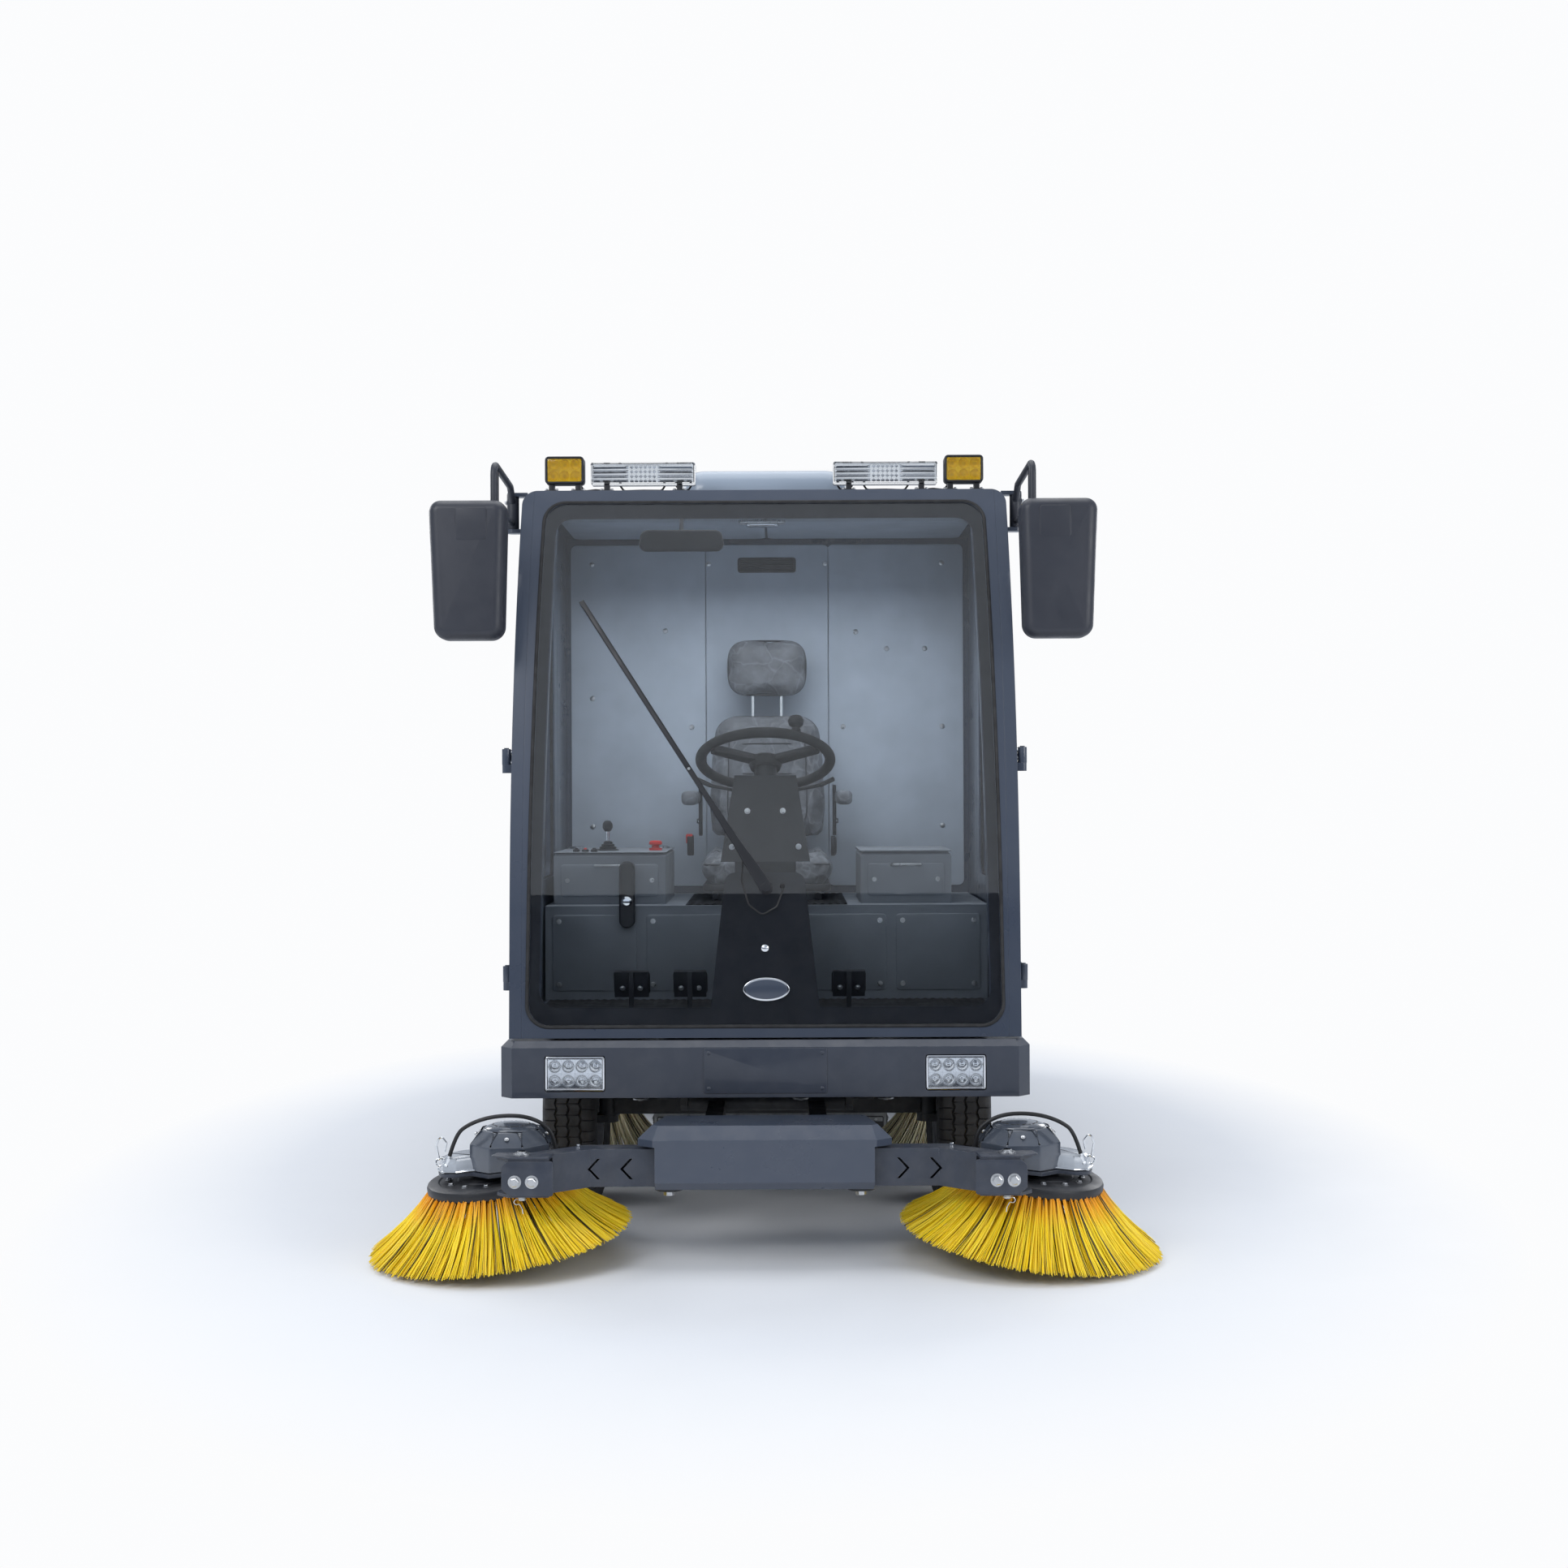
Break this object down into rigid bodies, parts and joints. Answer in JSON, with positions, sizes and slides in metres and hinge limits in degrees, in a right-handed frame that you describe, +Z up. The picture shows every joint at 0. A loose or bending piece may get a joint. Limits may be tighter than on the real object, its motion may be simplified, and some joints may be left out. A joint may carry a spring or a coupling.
{
  "type": "compact road sweeper",
  "caption": "Compact road sweeper: glass-fronted cab, plate brushes on front arms and behind the front wheels, suction nozzle and tipping hopper.",
  "frame": {"origin": "on the floor, at the centre of the bounding box's bottom face", "axes": "+Z up; the machine faces -Y; +X is its own left side"},
  "size_m": [2.1908, 3.9997, 2.2999],
  "materials": {
    "body_paint": "satin",
    "bumper_paint": "satin",
    "frame_paint": "satin",
    "engine_steel": "matte",
    "motor_cover": "satin",
    "glass": "gloss",
    "lamp_lens": "gloss",
    "amber_lens": "gloss",
    "red_lens": "gloss",
    "black_plastic": "satin",
    "grey_plastic": "satin",
    "seat_vinyl": "matte",
    "hose_rubber": "satin",
    "yellow_bristle": "satin",
    "pale_bristle": "satin",
    "tyre_rubber": "matte",
    "rim_paint": "satin"
  },
  "bodies": {
    "chassis": {"chassis_frame": "frame_paint", "front_axle": "frame_paint", "rear_axle": "frame_paint", "power_pack": "engine_steel", "cab_frame": "body_paint", "cab_roof": "body_paint", "cab_floor": "body_paint", "roof_cover": "body_paint", "engine_housing": "body_paint", "windscreen": "glass", "front_bumper": "bumper_paint", "headlamps": "lamp_lens", "roof_lights": "amber_lens", "tail_lamps": "red_lens", "wiper": "black_plastic", "steering_column": "black_plastic", "pedals": "black_plastic", "cab_platform": "grey_plastic", "seat_cushion": "seat_vinyl", "seat_back": "seat_vinyl", "side_tanks": "black_plastic", "rear_bumper": "bumper_paint", "suction_duct": "black_plastic"},
    "door_left": {"door_left": "body_paint", "door_glass_left": "glass"},
    "mirror_left": {"mirror_left": "black_plastic"},
    "knuckle_left": {"knuckle_left": "frame_paint"},
    "wheel_front_left": {"tyre_front_left": "tyre_rubber", "rim_front_left": "rim_paint"},
    "wheel_rear_left": {"tyre_rear_left": "tyre_rubber", "rim_rear_left": "rim_paint"},
    "door_right": {"door_right": "body_paint", "door_glass_right": "glass"},
    "mirror_right": {"mirror_right": "black_plastic"},
    "knuckle_right": {"knuckle_right": "frame_paint"},
    "wheel_front_right": {"tyre_front_right": "tyre_rubber", "rim_front_right": "rim_paint"},
    "wheel_rear_right": {"tyre_rear_right": "tyre_rubber", "rim_rear_right": "rim_paint"},
    "brush_carrier": {"brush_carrier": "frame_paint", "front_housing": "body_paint"},
    "brush_arm_left": {"brush_arm_left": "bumper_paint"},
    "brush_head_left": {"brush_head_left": "bumper_paint", "brush_motor_left": "motor_cover", "brush_hose_left": "hose_rubber"},
    "front_brush_left": {"brush_disc_left": "black_plastic", "brush_bristles_left": "yellow_bristle"},
    "mid_arm_left": {"mid_arm_left": "frame_paint"},
    "mid_brush_left": {"mid_brush_left": "pale_bristle"},
    "brush_arm_right": {"brush_arm_right": "bumper_paint"},
    "brush_head_right": {"brush_head_right": "bumper_paint", "brush_motor_right": "motor_cover", "brush_hose_right": "hose_rubber"},
    "front_brush_right": {"brush_disc_right": "black_plastic", "brush_bristles_right": "yellow_bristle"},
    "mid_arm_right": {"mid_arm_right": "frame_paint"},
    "mid_brush_right": {"mid_brush_right": "pale_bristle"},
    "hopper": {"hopper": "body_paint"},
    "hopper_door": {"hopper_door": "body_paint"},
    "suction_nozzle": {"suction_nozzle": "frame_paint"}
  },
  "joints": [
    {"name": "door_swing_left", "type": "hinge", "parent": "chassis", "child": "door_left", "pos_m": [0.743, -1.392, 1], "axis": [0, 0, -1], "range_deg": [0, 70]},
    {"name": "mirror_fold_left", "type": "hinge", "parent": "chassis", "child": "mirror_left", "pos_m": [0.762, -1.09, 2.12], "axis": [0, 0, -1], "range_deg": [-45, 5]},
    {"name": "steer_left", "type": "hinge", "parent": "chassis", "child": "knuckle_left", "pos_m": [0.5, -0.852, 0.298], "axis": [0, 0, 1], "range_deg": [-30, 30]},
    {"name": "roll_front_left", "type": "hinge", "parent": "knuckle_left", "child": "wheel_front_left", "pos_m": [0.597, -0.852, 0.298], "axis": [1, 0, 0], "continuous": true},
    {"name": "roll_rear_left", "type": "hinge", "parent": "chassis", "child": "wheel_rear_left", "pos_m": [0.597, 1.068, 0.298], "axis": [1, 0, 0], "continuous": true},
    {"name": "door_swing_right", "type": "hinge", "parent": "chassis", "child": "door_right", "pos_m": [-0.743, -1.392, 1], "axis": [0, 0, 1], "range_deg": [0, 70]},
    {"name": "mirror_fold_right", "type": "hinge", "parent": "chassis", "child": "mirror_right", "pos_m": [-0.762, -1.09, 2.12], "axis": [0, 0, 1], "range_deg": [-45, 5]},
    {"name": "steer_right", "type": "hinge", "parent": "chassis", "child": "knuckle_right", "pos_m": [-0.5, -0.852, 0.298], "axis": [0, 0, 1], "range_deg": [-30, 30]},
    {"name": "roll_front_right", "type": "hinge", "parent": "knuckle_right", "child": "wheel_front_right", "pos_m": [-0.597, -0.852, 0.298], "axis": [1, 0, 0], "continuous": true},
    {"name": "roll_rear_right", "type": "hinge", "parent": "chassis", "child": "wheel_rear_right", "pos_m": [-0.597, 1.068, 0.298], "axis": [1, 0, 0], "continuous": true},
    {"name": "carrier_lift", "type": "hinge", "parent": "chassis", "child": "brush_carrier", "pos_m": [0, -1.1, 0.345], "axis": [-1, 0, 0], "range_deg": [0, 6]},
    {"name": "arm_swing_left", "type": "hinge", "parent": "brush_carrier", "child": "brush_arm_left", "pos_m": [0.26, -1.729, 0.27], "axis": [0, 0, -1], "range_deg": [-8, 6]},
    {"name": "head_swing_left", "type": "hinge", "parent": "brush_arm_left", "child": "brush_head_left", "pos_m": [0.642, -1.86, 0.27], "axis": [0, 0, -1], "range_deg": [-4, 6]},
    {"name": "front_brush_spin_left", "type": "hinge", "parent": "brush_head_left", "child": "front_brush_left", "pos_m": [0.75, -1.645, 0.235], "axis": [0.1181, -0.0693, 0.9906], "continuous": true},
    {"name": "mid_arm_swing_left", "type": "hinge", "parent": "chassis", "child": "mid_arm_left", "pos_m": [0.4, 0.06, 0.265], "axis": [0, 0, 1], "range_deg": [-8, 8]},
    {"name": "mid_brush_spin_left", "type": "hinge", "parent": "mid_arm_left", "child": "mid_brush_left", "pos_m": [0.59, -0.215, 0.225], "axis": [0, 0, 1], "continuous": true},
    {"name": "arm_swing_right", "type": "hinge", "parent": "brush_carrier", "child": "brush_arm_right", "pos_m": [-0.26, -1.729, 0.27], "axis": [0, 0, 1], "range_deg": [-8, 6]},
    {"name": "head_swing_right", "type": "hinge", "parent": "brush_arm_right", "child": "brush_head_right", "pos_m": [-0.642, -1.86, 0.27], "axis": [0, 0, 1], "range_deg": [-4, 6]},
    {"name": "front_brush_spin_right", "type": "hinge", "parent": "brush_head_right", "child": "front_brush_right", "pos_m": [-0.75, -1.645, 0.235], "axis": [-0.1181, -0.0693, 0.9906], "continuous": true},
    {"name": "mid_arm_swing_right", "type": "hinge", "parent": "chassis", "child": "mid_arm_right", "pos_m": [-0.4, 0.06, 0.265], "axis": [0, 0, -1], "range_deg": [-8, 8]},
    {"name": "mid_brush_spin_right", "type": "hinge", "parent": "mid_arm_right", "child": "mid_brush_right", "pos_m": [-0.59, -0.215, 0.225], "axis": [0, 0, 1], "continuous": true},
    {"name": "hopper_tilt", "type": "hinge", "parent": "chassis", "child": "hopper", "pos_m": [0, 1.8, 0.585], "axis": [-1, 0, 0], "range_deg": [0, 45]},
    {"name": "hopper_door_lift", "type": "hinge", "parent": "hopper", "child": "hopper_door", "pos_m": [0, 1.938, 2.082], "axis": [1, 0, 0], "range_deg": [0, 80]},
    {"name": "nozzle_lift", "type": "slide", "parent": "chassis", "child": "suction_nozzle", "axis": [0, 0, 1], "range_m": [0, 0.06]}
  ],
  "couplings": [
    {"joint": "steer_right", "follows": "steer_left", "ratio": 1}
  ]
}
